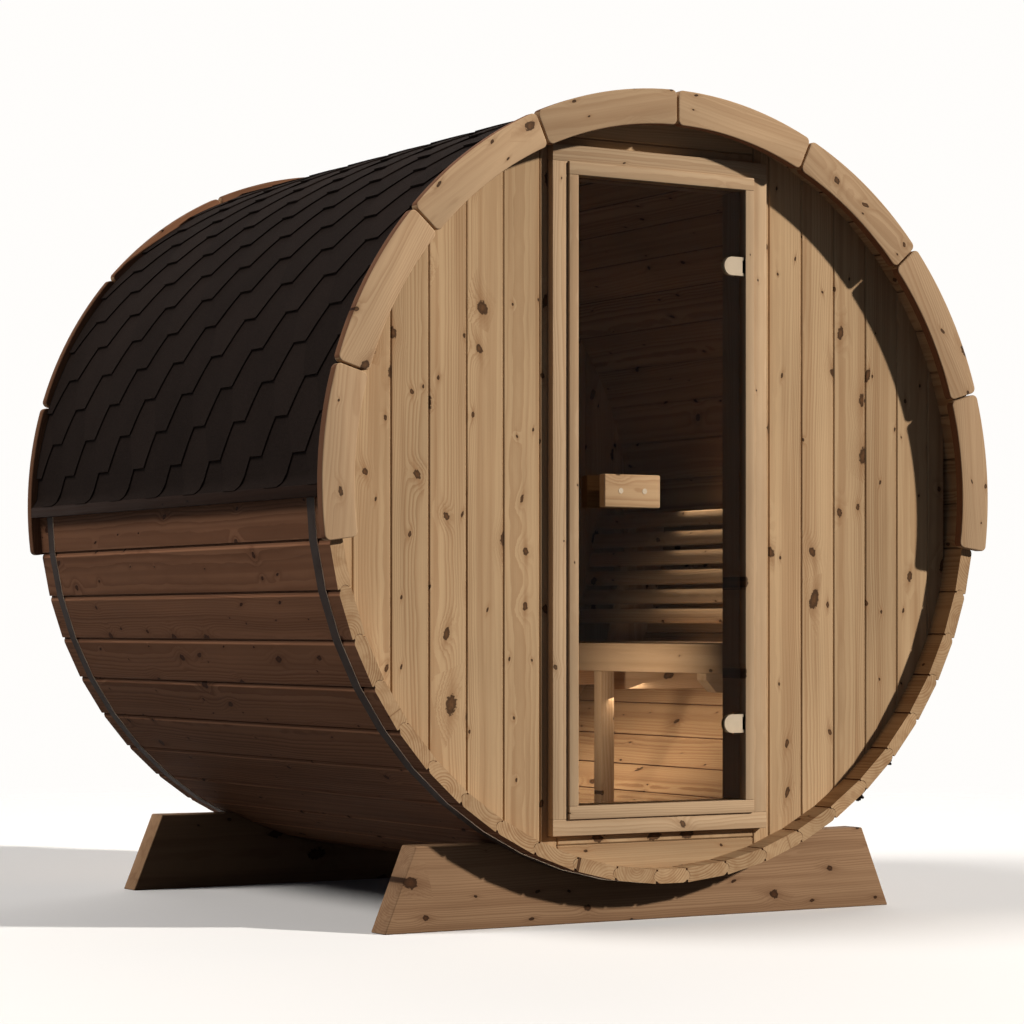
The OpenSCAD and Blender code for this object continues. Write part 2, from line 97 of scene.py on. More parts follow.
class Nodes:
    """The node tree of a material or of the world, with short calls for the nodes that it needs."""

    def __init__(self, name, world=None):
        self.owner = world or bpy.data.materials.new(name)
        self.output = "ShaderNodeOutputWorld" if world else "ShaderNodeOutputMaterial"
        self.owner.use_nodes = True
        self.tree = self.owner.node_tree
        self.tree.nodes.clear()

    def make(self, kind, inputs=(), **settings):
        node = self.tree.nodes.new(kind)
        for key, value in settings.items():
            setattr(node, key, value)
        for key, value in dict(inputs).items():
            self.feed(node.inputs[key], value)
        return node

    def feed(self, socket, value):
        if isinstance(value, bpy.types.NodeSocket):
            self.tree.links.new(value, socket)
        else:
            socket.default_value = value

    def math(self, operation, *values):
        node = self.make("ShaderNodeMath", operation=operation)
        for socket, value in zip(node.inputs, values):
            self.feed(socket, value)
        return node.outputs[0]

    def add(self, a, b):
        return self.math("ADD", a, b)

    def sub(self, a, b):
        return self.math("SUBTRACT", a, b)

    def mul(self, a, b):
        return self.math("MULTIPLY", a, b)

    def div(self, a, b):
        return self.math("DIVIDE", a, b)

    def length(self, a, b):
        return self.math("SQRT", self.add(self.mul(a, a), self.mul(b, b)))

    def bell(self, distance, width):
        """A bump of height 1 that falls off around distance 0."""
        share = self.div(distance, width)
        return self.math("EXPONENT", self.mul(self.mul(share, share), -1.0))

    def step(self, value, low, high, to_low=0.0, to_high=1.0):
        node = self.make("ShaderNodeMapRange", interpolation_type="SMOOTHSTEP")
        for socket, v in zip(node.inputs, (value, low, high, to_low, to_high)):
            self.feed(socket, v)
        return node.outputs[0]

    def split(self, vector):
        node = self.make("ShaderNodeSeparateXYZ", {"Vector": vector})
        return node.outputs[0], node.outputs[1], node.outputs[2]

    def join(self, x, y, z=0.0):
        node = self.make("ShaderNodeCombineXYZ", {"X": x, "Y": y, "Z": z})
        return node.outputs[0]

    def attribute(self, name, output="Vector"):
        return self.make("ShaderNodeAttribute", attribute_name=name).outputs[output]

    def noise(self, vector, scale=1.0, detail=2.0, roughness=0.5):
        node = self.make("ShaderNodeTexNoise", {
            "Vector": vector, "Scale": scale, "Detail": detail, "Roughness": roughness})
        return node.outputs["Fac"]

    def mix(self, share, a, b, blend="MIX"):
        node = self.make("ShaderNodeMix", data_type="RGBA", blend_type=blend)
        self.feed(node.inputs[0], share)
        self.feed(node.inputs[6], a)
        self.feed(node.inputs[7], b)
        return node.outputs[2]

    def grey(self, value):
        return self.make("ShaderNodeCombineColor", {
            "Red": value, "Green": value, "Blue": value}).outputs[0]

    def bump(self, height, strength, distance):
        return self.make("ShaderNodeBump", {
            "Height": height, "Strength": strength, "Distance": distance}).outputs[0]

    def seen_directly(self):
        """1 for the rays that show the background: straight, off a mirror or through glass."""
        path = self.make("ShaderNodeLightPath").outputs
        seen = self.math("MAXIMUM", path["Is Camera Ray"], path["Is Glossy Ray"])
        seen = self.math("MAXIMUM", seen, path["Is Transmission Ray"])
        return self.mul(seen, self.math("LESS_THAN", path["Diffuse Depth"], 0.5))

    def finish(self, shader):
        self.make(self.output, {"Surface": shader.outputs[0]})
        return self.owner

    def finish_mixed(self, share, first, second):
        return self.finish(self.make("ShaderNodeMixShader", {
            0: share, 1: first.outputs[0], 2: second.outputs[0]}))

    def surface(self, **inputs):
        return self.finish(self.make("ShaderNodeBsdfPrincipled", {
            key.replace("_", " "): value for key, value in inputs.items()}))


def rgb(red, green, blue):
    return (red, green, blue, 1.0)


MATT = 0.03  # specular level: nothing here but glass and bare metal shines
KNOT_ROW, KNOT_STEP, KNOT_SHARE = 0.072, 0.16, 0.55
LEAST_KNOT, BIG_KNOT = 0.0003, (0.0035, 0.006)
BARK_SHADE, HEART_SHADE = rgb(0.11, 0.115, 0.15), rgb(0.38, 0.32, 0.30)
# the second number is how much lighter a painted highlight draws a stave's shoulder, as if lit from
# above
ALL_FRESH, HIGHLIGHT_GAIN = 0.95, 1.6


def wood(name, light, dark, knot_size=0.0098, ring=0.0052, contrast=0.6, fresh_gain=0.85,
         spared=None):
    """Softwood: year rings round each board's own pith, knots that bend them, and fibres.

    spared is the light and dark colour of the sawn ends and of the faces looking the way given to the
    board; on staves and rings the first light and dark colour is darker, partly weathering and partly
    painted shade. A board's attribute "fresh" is 1 on those faces, and less on an edge face that gets
    a painted highlight."""
    n = Nodes(name)
    along, across, deep = n.split(n.attribute("grain"))
    pith_across, pith_deep, tone = n.split(n.attribute("board"))
    state = n.attribute("fresh", "Fac")
    fresh = n.math("GREATER_THAN", state, ALL_FRESH)
    # a share below 1 on an edge face is a painted highlight
    highlit = n.mul(state, n.sub(1.0, fresh))
    # on staves and rings the first colours are darker, partly weathering and partly painted shade;
    # the spared faces keep the plain colours
    if spared:
        light, dark = n.mix(fresh, light, spared[0]), n.mix(fresh, dark, spared[1])

    cells = n.join(n.div(along, KNOT_STEP), n.div(n.add(across, n.mul(tone, 3.0)), KNOT_ROW))
    knots = n.make("ShaderNodeTexVoronoi", {"Vector": cells, "Scale": 1.0},
                   voronoi_dimensions="2D", feature="F1")
    cell_x, cell_y, _ = n.split(cells)
    knot_x, knot_y, _ = n.split(knots.outputs["Position"])
    chance, size, turn = n.split(knots.outputs["Color"])
    lumpy = n.sub(n.noise(n.join(n.mul(along, 130.0), n.mul(across, 130.0), deep), 1.0, 3.0), 0.5)
    off_x = n.mul(n.sub(cell_x, knot_x), KNOT_STEP)
    off_y = n.mul(n.sub(cell_y, knot_y), KNOT_ROW)
    off_y = n.add(off_y, n.mul(n.mul(off_x, n.sub(turn, 0.5)), 0.6))
    present = n.step(chance, KNOT_SHARE + 0.01, KNOT_SHARE - 0.01)
    spread = n.mul(n.mul(n.mul(size, size), size), n.add(0.3, n.mul(size, 0.8)))
    radius = n.add(n.mul(n.mul(n.add(spread, 0.24), knot_size), present), LEAST_KNOT)
    away = n.length(n.mul(off_x, n.add(0.45, n.mul(turn, 0.45))), off_y)
    away = n.add(away, n.mul(n.mul(lumpy, radius), 1.1))
    core = n.mul(n.step(away, n.mul(radius, 1.05), n.mul(radius, 0.8)), present)
    heart = n.bell(away, n.mul(radius, 0.62))
    flow = n.mul(n.bell(away, n.mul(radius, 2.6)), n.mul(radius, 1.5))
    tail = n.mul(n.bell(off_y, n.mul(radius, 0.8)), n.bell(off_x, n.mul(radius, 5.5)))
    halo = n.bell(away, n.mul(radius, 1.9))

    slow = n.join(n.mul(along, 0.9), n.mul(across, 2.5), n.mul(deep, 2.5))
    wander = n.mul(n.sub(n.noise(slow, 1.0, 1.5), 0.5), 0.075)
    quick = n.join(n.mul(along, 9.0), n.mul(across, 22.0), deep)
    ripple = n.mul(n.sub(n.noise(quick), 0.5), 0.0042)
    from_pith = n.length(n.add(n.sub(across, pith_across), wander), n.sub(deep, pith_deep))
    years = n.div(n.add(n.add(from_pith, flow), ripple), ring)
    uneven = n.noise(n.join(n.mul(years, 0.31), tone), 1.0, 1.0)
    phase = n.math("FRACT", n.add(years, n.mul(uneven, 2.2)))
    late = n.mul(n.step(phase, 0.25, 0.9), n.step(phase, 1.0, 0.92))
    plain = n.noise(n.join(n.mul(years, 0.12), n.mul(along, 0.35)))
    late = n.mul(late, n.step(plain, 0.32, 0.66, 0.25, 1.0))
    thread = n.join(n.mul(along, 7.0), n.mul(across, 420.0), n.mul(deep, 420.0))
    fibres = n.noise(thread, 1.0, 3.0, 0.6)
    stripe = n.join(n.mul(along, 0.8), n.mul(across, 38.0), n.mul(deep, 38.0))
    streaks = n.noise(stripe, 1.0, 2.0)
    clouds = n.noise(n.join(n.mul(along, 2.2), n.mul(across, 7.0), tone), 1.0, 2.0)

    colour = n.mix(n.mul(late, contrast), light, dark)
    colour = n.mix(n.step(streaks, 0.42, 0.72, 0.0, 0.5), colour, dark)
    level = n.add(n.add(n.mul(fibres, 0.2), n.mul(clouds, 0.34)), n.add(n.mul(tone, 0.24), 0.61))
    level = n.mul(level, n.add(1.0, n.mul(fresh, fresh_gain - 1.0)))
    # painted highlight: edge faces drawn lighter, as if lit from above
    level = n.mul(level, n.add(1.0, n.mul(highlit, HIGHLIGHT_GAIN)))
    colour = n.mix(1.0, colour, n.grey(level), "MULTIPLY")
    colour = n.mix(n.mul(n.add(n.mul(tail, 0.55), n.mul(halo, 0.35)), present), colour, dark)
    bark = n.mix(1.0, dark, BARK_SHADE, "MULTIPLY")
    inner = n.mix(1.0, dark, HEART_SHADE, "MULTIPLY")
    big = n.step(radius, *BIG_KNOT, 0.25, 0.95)
    colour = n.mix(n.mul(core, 0.93), colour, n.mix(n.mul(heart, big), bark, inner))
    height = n.sub(n.add(n.mul(late, 0.5), n.mul(fibres, 0.5)), n.mul(core, 0.5))
    return n.surface(
        Base_Color=colour, Roughness=n.step(fibres, 0.2, 0.8, 0.56, 0.74),
        Specular_IOR_Level=MATT, Normal=n.bump(height, 0.4, 0.0009))


FELT_COLOUR, GRANULES = rgb(0.0195, 0.0134, 0.0111), 620.0


def shingle_felt():
    """Bitumen shingles: mineral granules, each tab a little lighter or darker."""
    n = Nodes("shingle_felt")
    place = n.make("ShaderNodeTexCoord").outputs["Object"]
    grit = n.make("ShaderNodeTexVoronoi", {"Vector": place, "Scale": GRANULES}, feature="F1")
    grit_tone, _, _ = n.split(grit.outputs["Color"])
    patches = n.noise(place, 5.0, 3.0)
    tone = n.attribute("tone", "Fac")
    level = n.add(n.mul(grit_tone, 1.1), n.mul(patches, 0.5))
    level = n.add(level, n.add(n.mul(tone, 0.28), 0.06))
    colour = n.mix(1.0, FELT_COLOUR, n.grey(level), "MULTIPLY")
    height = n.add(n.mul(grit.outputs["Distance"], -1.0), n.mul(n.noise(place, 1500.0), 0.4))
    return n.surface(
        Base_Color=colour, Roughness=n.step(grit_tone, 0.0, 1.0, 0.82, 0.98),
        Specular_IOR_Level=MATT, Normal=n.bump(height, 0.5, 0.0012))


STROKES_Y, STROKES_X, STROKES_ROUND = (60.0, 2.0, 60.0), (2.0, 60.0, 60.0), (1.0, 60.0, 1.0)
BRUSHING = 20.0


def metal(name, colour, rough, brushed=STROKES_Y, grime=0.25, coated=False, edge_highlight=None):
    """Metal with fine brushing and a few duller patches.

    A coated one is matt; the band's dark coat is a painted reflection, standing in for the dark
    surroundings that bare steel reflects. edge_highlight is a painted highlight: a lighter, metallic
    colour on the narrow faces, which look along Y."""
    n = Nodes(name)
    place = n.make("ShaderNodeTexCoord").outputs["Object"]
    strokes = [n.mul(axis, finer * BRUSHING) for axis, finer in zip(n.split(place), brushed)]
    lines = n.noise(n.join(*strokes), 1.0, 3.0)
    patches = n.noise(place, 14.0, 4.0, 0.6)
    level = n.sub(1.0, n.mul(n.step(patches, 0.45, 0.75), grime))
    metallic = 0.0 if coated else 1.0
    if edge_highlight:
        # painted highlight: the narrow faces that look along Y get the lighter, metallic colour
        facing = n.split(n.make("ShaderNodeNewGeometry").outputs["Normal"])[1]
        highlight_mask = n.step(n.math("ABSOLUTE", facing), 0.6, 0.8)
        colour = n.mix(highlight_mask, colour, edge_highlight)
        metallic = highlight_mask
    level = n.mul(level, n.add(0.92, n.mul(lines, 0.12)))
    tint = n.mix(1.0, colour, n.grey(level), "MULTIPLY")
    dull = n.mul(n.step(patches, 0.4, 0.8), 0.15)
    return n.surface(
        Base_Color=tint, Metallic=metallic, Specular_IOR_Level=MATT,
        Roughness=n.add(n.step(lines, 0.25, 0.75, rough - 0.06, rough + 0.08), dull),
        Normal=n.bump(lines, 0.08, 0.0003))


GLASS_TINT, GLASS_SHADE, GLASS_IOR = rgb(0.62, 0.55, 0.47), rgb(0.30, 0.26, 0.22), 1.12


def tinted_glass():
    """Bronze toughened glass that lets the light of the lamps through."""
    n = Nodes("tinted_glass")
    glass = n.make("ShaderNodeBsdfPrincipled", {
        "Base Color": GLASS_TINT, "Roughness": 0.0,
        "IOR": GLASS_IOR, "Transmission Weight": 1.0})
    clear = n.make("ShaderNodeBsdfTransparent", {"Color": GLASS_SHADE})
    shadow = n.make("ShaderNodeLightPath").outputs["Is Shadow Ray"]
    return n.finish_mixed(shadow, glass, clear)


# The darker colours of the staves' outer faces and of the rings' rims and backs are partly
# weathering, partly painted shade of the barrel's shaded sides.
FRESH_FRONT = (rgb(0.48, 0.32, 0.187), rgb(0.33, 0.195, 0.104))
FRESH_STAVE = (rgb(0.46, 0.30, 0.165), rgb(0.30, 0.165, 0.08))
WEATHERED_AND_SHADED = (rgb(0.225, 0.107, 0.058), rgb(0.125, 0.054, 0.028))
WOODS = {
    "wall_wood": wood("wall_wood", rgb(0.50, 0.335, 0.187), rgb(0.31, 0.172, 0.084),
                      knot_size=0.0125),
    "frame_wood": wood("frame_wood", rgb(0.52, 0.36, 0.218), rgb(0.37, 0.23, 0.127),
                       knot_size=0.008),
    "ring_wood": wood("ring_wood", *WEATHERED_AND_SHADED, knot_size=0.0095, fresh_gain=1.0, spared=FRESH_FRONT),
    # The cradle colours are darker than the other wood: partly painted shade; the sawn ends are drawn
    # lighter.
    "cradle_wood": wood("cradle_wood", rgb(0.30, 0.18, 0.10), rgb(0.18, 0.095, 0.05),
                        knot_size=0.014, ring=0.007, fresh_gain=1.35),
    "stave_wood": wood("stave_wood", *WEATHERED_AND_SHADED, knot_size=0.0095, ring=0.0075, contrast=0.95,
                       fresh_gain=1.0, spared=FRESH_STAVE),
    # The laths are drawn near black: partly their own dark colour, partly painted shade under the
    # roof's edge.
    "lath_wood": wood("lath_wood", rgb(0.027, 0.0142, 0.0098), rgb(0.016, 0.0088, 0.0062)),
    "handle_wood": wood("handle_wood", rgb(0.48, 0.31, 0.17), rgb(0.33, 0.185, 0.092)),
    "bench_wood": wood("bench_wood", rgb(0.56, 0.39, 0.24), rgb(0.38, 0.23, 0.12)),
}
# The band's dark matt coat is a painted reflection of dark surroundings, and its lighter narrow faces
# are a painted highlight.
STEEL = metal("band_steel", rgb(0.047, 0.033, 0.027), 0.44, STROKES_ROUND, coated=True,
              edge_highlight=rgb(0.62, 0.50, 0.38))
DARK_STEEL = metal("dark_steel", rgb(0.022, 0.018, 0.016), 0.5, coated=True)
SATIN = metal("satin_metal", rgb(0.60, 0.475, 0.335), 0.34, STROKES_X, grime=0.06)
PALE_METAL = metal("pale_metal", rgb(0.9, 0.88, 0.84), 0.5, STROKES_X, grime=0.03)
FELT = shingle_felt()
GLASS = tinted_glass()


# ---------------------------------------------------------------- meshes

SEEDS = {"staves": 100, "front_wall": 201, "rear_wall": 205, "boards": 300, "rings": 400,
         "roof_right": 501, "roof_left": 502, "ridge": 520, "laths": 530, "cradles": 600,
         "seat": 700, "bench": 710, "handles": 800}


def finish_piece(name, mesh, material, body, stands_for):
    mesh.materials.append(material)
    piece = bpy.data.objects.new(name, mesh)
    bpy.context.scene.collection.objects.link(piece)
    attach(piece, body)
    if stands_for:
        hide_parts(*stands_for)
    return piece


EASED, INNER_EASED, BENCH_EASED = 0.002, 0.0025, 0.003
THICK_EASED, WELL_EASED, SLAT_EASED = 0.0035, 0.004, 0.0045
SMOOTH_WOOD, SMOOTH_METAL, SMOOTH_FELT, SMOOTH_STAVE = 32, 35, 40, 12


def smooth_by_angle(mesh, degrees):
    mesh.polygons.foreach_set("use_smooth", [True] * len(mesh.polygons))
    mesh.set_sharp_from_angle(angle=math.radians(degrees))


def soften(bm, width, segments=2, least=25):
    """Rounds the edges that are sharper than least degrees."""
    sharp = [e for e in bm.edges
             if len(e.link_faces) == 2 and math.degrees(e.calc_face_angle(0)) > least]
    if width and sharp:
        bmesh.ops.bevel(bm, geom=sharp, offset=width, offset_type="OFFSET", segments=segments,
                        profile=0.5, affect="EDGES", clamp_overlap=True)


def prism(outline, place, depth):
    """A closed solid from a flat outline; place(a, b, c) gives the point c into its depth."""
    bm = bmesh.new()
    near = [bm.verts.new(place(a, b, 0.0)) for a, b in outline]
    far = [bm.verts.new(place(a, b, depth)) for a, b in outline]
    count = len(outline)
    bm.faces.new(near)
    bm.faces.new(far[::-1])
    for i in range(count):
        j = (i + 1) % count
        bm.faces.new((near[j], near[i], far[i], far[j]))
    bmesh.ops.recalc_face_normals(bm, faces=bm.faces)
    return bm


def front_view(y):
    """Places an outline drawn in the front view, about the barrel's axis, back from y."""
    return lambda a, b, c: Vector((a, y + c, AXIS_Z + b))


class Timber:
    """Boards gathered into one mesh; each knows its own grain, pith and tone."""

    def __init__(self, seed):
        self.luck = random.Random(seed)
        self.points, self.faces = [], []
        self.grain, self.board, self.fresh = [], [], []

    def add(self, bm, along, across, fresh=None, highlit=None):
        """Takes a board's mesh; fresh is the direction that a spared face looks in.

        worn gives the painted highlight of single edge faces, by their place in the mesh: how much
        lighter they are drawn."""
        deep = along.cross(across)
        start = len(self.points)
        total = Vector()
        for v in bm.verts:
            total += v.co
        origin = total / len(bm.verts)
        shift = self.luck.uniform(0, 60)
        side = self.luck.choice((-1, 1))
        sideways, behind = self.luck.uniform(-0.06, 0.06), self.luck.uniform(0.02, 0.11)
        pith = (sideways, side * behind, self.luck.random())
        bm.verts.index_update()
        bm.normal_update()
        for v in bm.verts:
            p = v.co - origin
            self.points.append(v.co[:])
            self.grain.append((p.dot(along) + shift, p.dot(across), p.dot(deep)))
            self.board.append(pith)
        for i, f in enumerate(bm.faces):
            self.faces.append([start + v.index for v in f.verts])
            sawn = abs(f.normal.dot(along)) > 0.7
            # faces looking the given way keep the plain colours; on staves and rings the other faces
            # get the darker colours, partly painted shade
            spared = fresh is not None and f.normal.dot(fresh) > 0.6
            self.fresh.append(1.0 if sawn or spared else (highlit or {}).get(i, 0.0))
        bm.free()

    def plank(self, low, high, along, across, round_by=EASED, segments=2):
        """A straight board between two corners, with eased edges."""
        low, high = Vector(low), Vector(high)
        outline = [(low.x, low.z), (high.x, low.z), (high.x, high.z), (low.x, high.z)]
        bm = prism(outline, lambda a, b, c: Vector((a, low.y + c, b)), high.y - low.y)
        soften(bm, round_by, segments)
        self.add(bm, along, across)

    def cut(self, outline, y, depth, along, across, round_by=EASED, segments=2, least=25,
            fresh=None):
        """A board whose outline is drawn in the front view, about the barrel's axis."""
        bm = prism(outline, front_view(y), depth)
        soften(bm, round_by, segments, least)
        self.add(bm, along, across, fresh)

    def piece(self, name, slot, *stands_for, body="cabin", smooth=SMOOTH_WOOD):
        mesh = bpy.data.meshes.new(name)
        mesh.from_pydata(self.points, [], self.faces)
        for key, kind, domain, values in (
                ("grain", "FLOAT_VECTOR", "POINT", self.grain),
                ("board", "FLOAT_VECTOR", "POINT", self.board),
                ("fresh", "FLOAT", "FACE", self.fresh)):
            layer = mesh.attributes.new(key, kind, domain)
            if kind == "FLOAT":
                layer.data.foreach_set("value", values)
            else:
                layer.data.foreach_set("vector", [c for point in values for c in point])
        smooth_by_angle(mesh, smooth)
        return finish_piece(name, mesh, WOODS[slot], body, stands_for)


# ---------------------------------------------------------------- barrel

# The corners of a stave's shoulder: how far from the joint line, how far below the outer face.
SHOULDER = ((0.0150, 0.0), (0.0125, 0.0004), (0.0100, 0.0013), (0.0050, 0.0036))
# painted highlight: how much lighter each shoulder face is drawn, as if it caught light from above
SHOULDER_HIGHLIGHT = (0.55, 0.60, 0.15)
NOTCH, NOTCH_DEPTH = 0.0042, 0.0060
INNER_NOTCH, INNER_NOTCH_DEPTH = 0.0040, 0.0048
BEAD, BEAD_GAP, LIP_GAP, TIP = 0.0118, 0.0010, 0.0012, 0.0009
BEAD_STEPS = 12
STAVE_T = STAVE_OUT - STAVE_IN


def bead_reach(depth):
    """How far the bead reaches from the joint line into its own stave: less than 0 is past it."""
    share = (depth - NOTCH_DEPTH) / (STAVE_T - NOTCH_DEPTH - INNER_NOTCH_DEPTH)
    bulge = math.sqrt(max(0.0, 1 - (2 * share - 1) ** 2))
    return NOTCH - BEAD * bulge


def stave_edge(outer, inner, into, bead):
    """One long edge of a stave from its outer to its inner face: a bead, or the cove for it."""
    def place(reach, depth):
        return outer.lerp(inner, depth / STAVE_T) + into * reach

    low = STAVE_T - INNER_NOTCH_DEPTH
    depths = [NOTCH_DEPTH + (low - NOTCH_DEPTH) * 0.5 * (1 - math.cos(math.pi * i / BEAD_STEPS))
              for i in range(BEAD_STEPS + 1)]
    if bead:
        points = [place(reach, depth) for reach, depth in SHOULDER]
        points += [place(bead_reach(depth), depth) for depth in depths]
        points += [place(INNER_NOTCH, STAVE_T - TIP), place(INNER_NOTCH + TIP, STAVE_T)]
        return points
    points = [place(LIP_GAP + TIP, 0.0), place(LIP_GAP, TIP)]
    points += [place(max(LIP_GAP, BEAD_GAP - bead_reach(depth)), depth) for depth in depths]
    return points + [place(LIP_GAP, STAVE_T - TIP), place(LIP_GAP + TIP, STAVE_T)]


END_FACES = 2  # a prism's two ends come before its sides


def stave(timber, first, last):
    """A stave between two joint angles; its bead points up and its cove down."""
    across = (polar(1, last) - polar(1, first)).normalized()
    inward = -polar(1, (first + last) / 2)
    upper_is_last = 0 < last % 360 <= 180
    upper_is_first = not 0 < first % 360 < 180
    far = stave_edge(polar(STAVE_OUT, last), polar(STAVE_IN, last), -across, upper_is_last)
    near = stave_edge(polar(STAVE_OUT, first), polar(STAVE_IN, first), across, upper_is_first)
    outline = [p[:] for p in far + near[::-1]]
    bm = prism(outline, front_view(FRONT_Y), REAR_Y - FRONT_Y)
    # the shoulder faces at the stave's upper edge get a painted highlight
    highlit = {}
    for i, highlight in enumerate(SHOULDER_HIGHLIGHT):
        if upper_is_last:
            highlit[END_FACES + i] = highlight
        if upper_is_first:
            highlit[END_FACES + len(outline) - 2 - i] = highlight
    timber.add(bm, Y, Vector((across.x, 0, across.y)), Vector((inward.x, 0, inward.y)), highlit)


def barrel():
    nodes = sorted(n for n in frame["nodes"] if n.endswith("_staves"))
    for number, node in enumerate(nodes):
        timber = Timber(SEEDS["staves"] + number)
        angles = joint_angles(node)
        for first, last in zip(angles, angles[1:]):
            stave(timber, first, last)
        timber.piece(node + "_boards", "stave_wood", node, smooth=SMOOTH_STAVE)


# ---------------------------------------------------------------- end walls

WALL_BITE = 0.004
BOARD_GAP, TONGUE_BITE = 0.0012, 0.001
WALL_BOARD = 0.10975
STUD_IN, STUD_OUT = 0.312, 0.3645
LINTEL_H = 0.026
V_GROOVE = 0.0032
WALL_END, NARROWEST = 0.02, 0.01
TONGUE_FROM, TONGUE_TO = 0.4, 0.6
REAR_BOARDS = 19


def upright_board(timber, x0, x1, y, depth):
    """A wall board from side to side of the barrel, its ends cut to the staves."""
    r = STAVE_IN + WALL_BITE
    x0 = max(x0 + BOARD_GAP / 2, -r + WALL_END)
    x1 = min(x1 - BOARD_GAP / 2, r - WALL_END)
    if x1 - x0 < NARROWEST:
        return
    steps = 6
    xs = [x0 + (x1 - x0) * i / steps for i in range(steps + 1)]
    outline = [(x, -math.sqrt(r * r - x * x)) for x in xs]
    outline += [(x, math.sqrt(r * r - x * x)) for x in xs[::-1]]
    timber.cut(outline, y, depth, Z, X, V_GROOVE, 1)


def level_board(timber, x0, x1, z0, z1, y, depth):
    """A short board above or below the door; z0 or z1 None means cut to the staves."""
    r = STAVE_IN + WALL_BITE
    steps = 8
    xs = [x0 + (x1 - x0) * i / steps for i in range(steps + 1)]
    low = [(x, -math.sqrt(r * r - x * x)) for x in xs] if z0 is None else [(x0, z0), (x1, z0)]
    high = [(x, math.sqrt(r * r - x * x)) for x in xs[::-1]] if z1 is None else [(x1, z1), (x0, z1)]
    timber.cut(low + high, y, depth, X, Z, V_GROOVE, 1)


def door_stud(timber, side, y, depth):
    """The upright beside the door, notched round the door frame."""
    r = STAVE_IN + WALL_BITE
    frame_x, frame_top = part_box("right_post")[1].x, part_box("door_header")[1].z - AXIS_Z
    x0, x1 = STUD_IN + BOARD_GAP / 2, STUD_OUT - BOARD_GAP / 2
    z0, z1 = math.sqrt(r * r - x0 * x0), math.sqrt(r * r - x1 * x1)
    outline = [(x0, z0), (x0, frame_top), (frame_x, frame_top), (frame_x, -frame_top),
               (x0, -frame_top), (x0, -z0), (x1, -z1), (x1, z1)]
    timber.cut([(side * x, z) for x, z in outline], y, depth, Z, X, V_GROOVE, 1)


def tongue(timber, x, y, depth):
    """The tongue in the joint of two upright boards: it keeps the daylight out."""
    r = STAVE_IN + WALL_BITE
    half_h, half_w = math.sqrt(r * r - x * x), BOARD_GAP / 2 + TONGUE_BITE
    timber.plank((x - half_w, y + depth * TONGUE_FROM, AXIS_Z - half_h),
                 (x + half_w, y + depth * TONGUE_TO, AXIS_Z + half_h), Z, X, 0)


def front_wall():
    low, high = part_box("front_wall_left")
    y, depth = low.y, high.y - low.y
    timber = Timber(SEEDS["front_wall"])
    frame_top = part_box("door_header")[1].z - AXIS_Z
    for side in (-1, 1):
        edge = STUD_OUT
        while edge < STAVE_IN:
            ends = sorted((side * edge, side * (edge + WALL_BOARD)))
            upright_board(timber, ends[0], ends[1], y, depth)
            edge += WALL_BOARD
        door_stud(timber, side, y, depth)
    lintel = frame_top + LINTEL_H
    for z0, z1 in ((frame_top, lintel - BOARD_GAP), (lintel, None),
                   (-lintel + BOARD_GAP, -frame_top), (None, -lintel)):
        level_board(timber, -STUD_IN, STUD_IN, z0, z1, y, depth)
    timber.piece("front_wall_boards", "wall_wood", "front_wall_left", "front_wall_right",
                 "front_wall_above_door", "front_wall_below_door")


def rear_wall():
    low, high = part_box("rear_wall")
    timber = Timber(SEEDS["rear_wall"])
    edges = [(i - REAR_BOARDS / 2) * WALL_BOARD for i in range(REAR_BOARDS + 1)]
    for a, b in zip(edges, edges[1:]):
        upright_board(timber, a, b, low.y, high.y - low.y)
    for x in edges:
        if abs(x) < STAVE_IN:
            tongue(timber, x, low.y, high.y - low.y)
    timber.piece("rear_wall_boards", "wall_wood", "rear_wall")


# ---------------------------------------------------------------- door frame

def plain_boards():
    """The straight boards: one piece for each node, in its own box."""
    upright, level, lengthways = (Z, X), (X, Z), (Y, Z)
    rows = [
        ("left_post", "frame_wood", upright, EASED),
        ("right_post", "frame_wood", upright, EASED),
        ("door_header", "frame_wood", level, EASED),
        ("door_sill", "frame_wood", level, EASED),
        ("inner_frame_left", "frame_wood", upright, INNER_EASED),
        ("inner_frame_right", "frame_wood", upright, INNER_EASED),
        ("inner_frame_top", "frame_wood", level, INNER_EASED),
        ("inner_frame_bottom", "frame_wood", level, INNER_EASED),
        ("bench_front_board", "bench_wood", lengthways, WELL_EASED),
        ("bench_leg", "bench_wood", upright, BENCH_EASED),
    ]
    for number, (node, slot, (along, across), edge) in enumerate(rows):
        timber = Timber(SEEDS["boards"] + number)
        low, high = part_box(node)
        timber.plank(low, high, along, across, edge)
        timber.piece(node + "_board", slot, node)


# ---------------------------------------------------------------- rings

RING_BOARD_ANGLE, RING_BOARDS = 24.5, 8
RING_CORNER, RING_GAP = 0.015, 0.005
LONG_STEPS, CORNER_STEPS = 14, 7


def arc(centre, r, a0, a1, steps):
    return [(Vector(centre) + polar(r, a0 + (a1 - a0) * i / steps))[:] for i in range(steps + 1)]


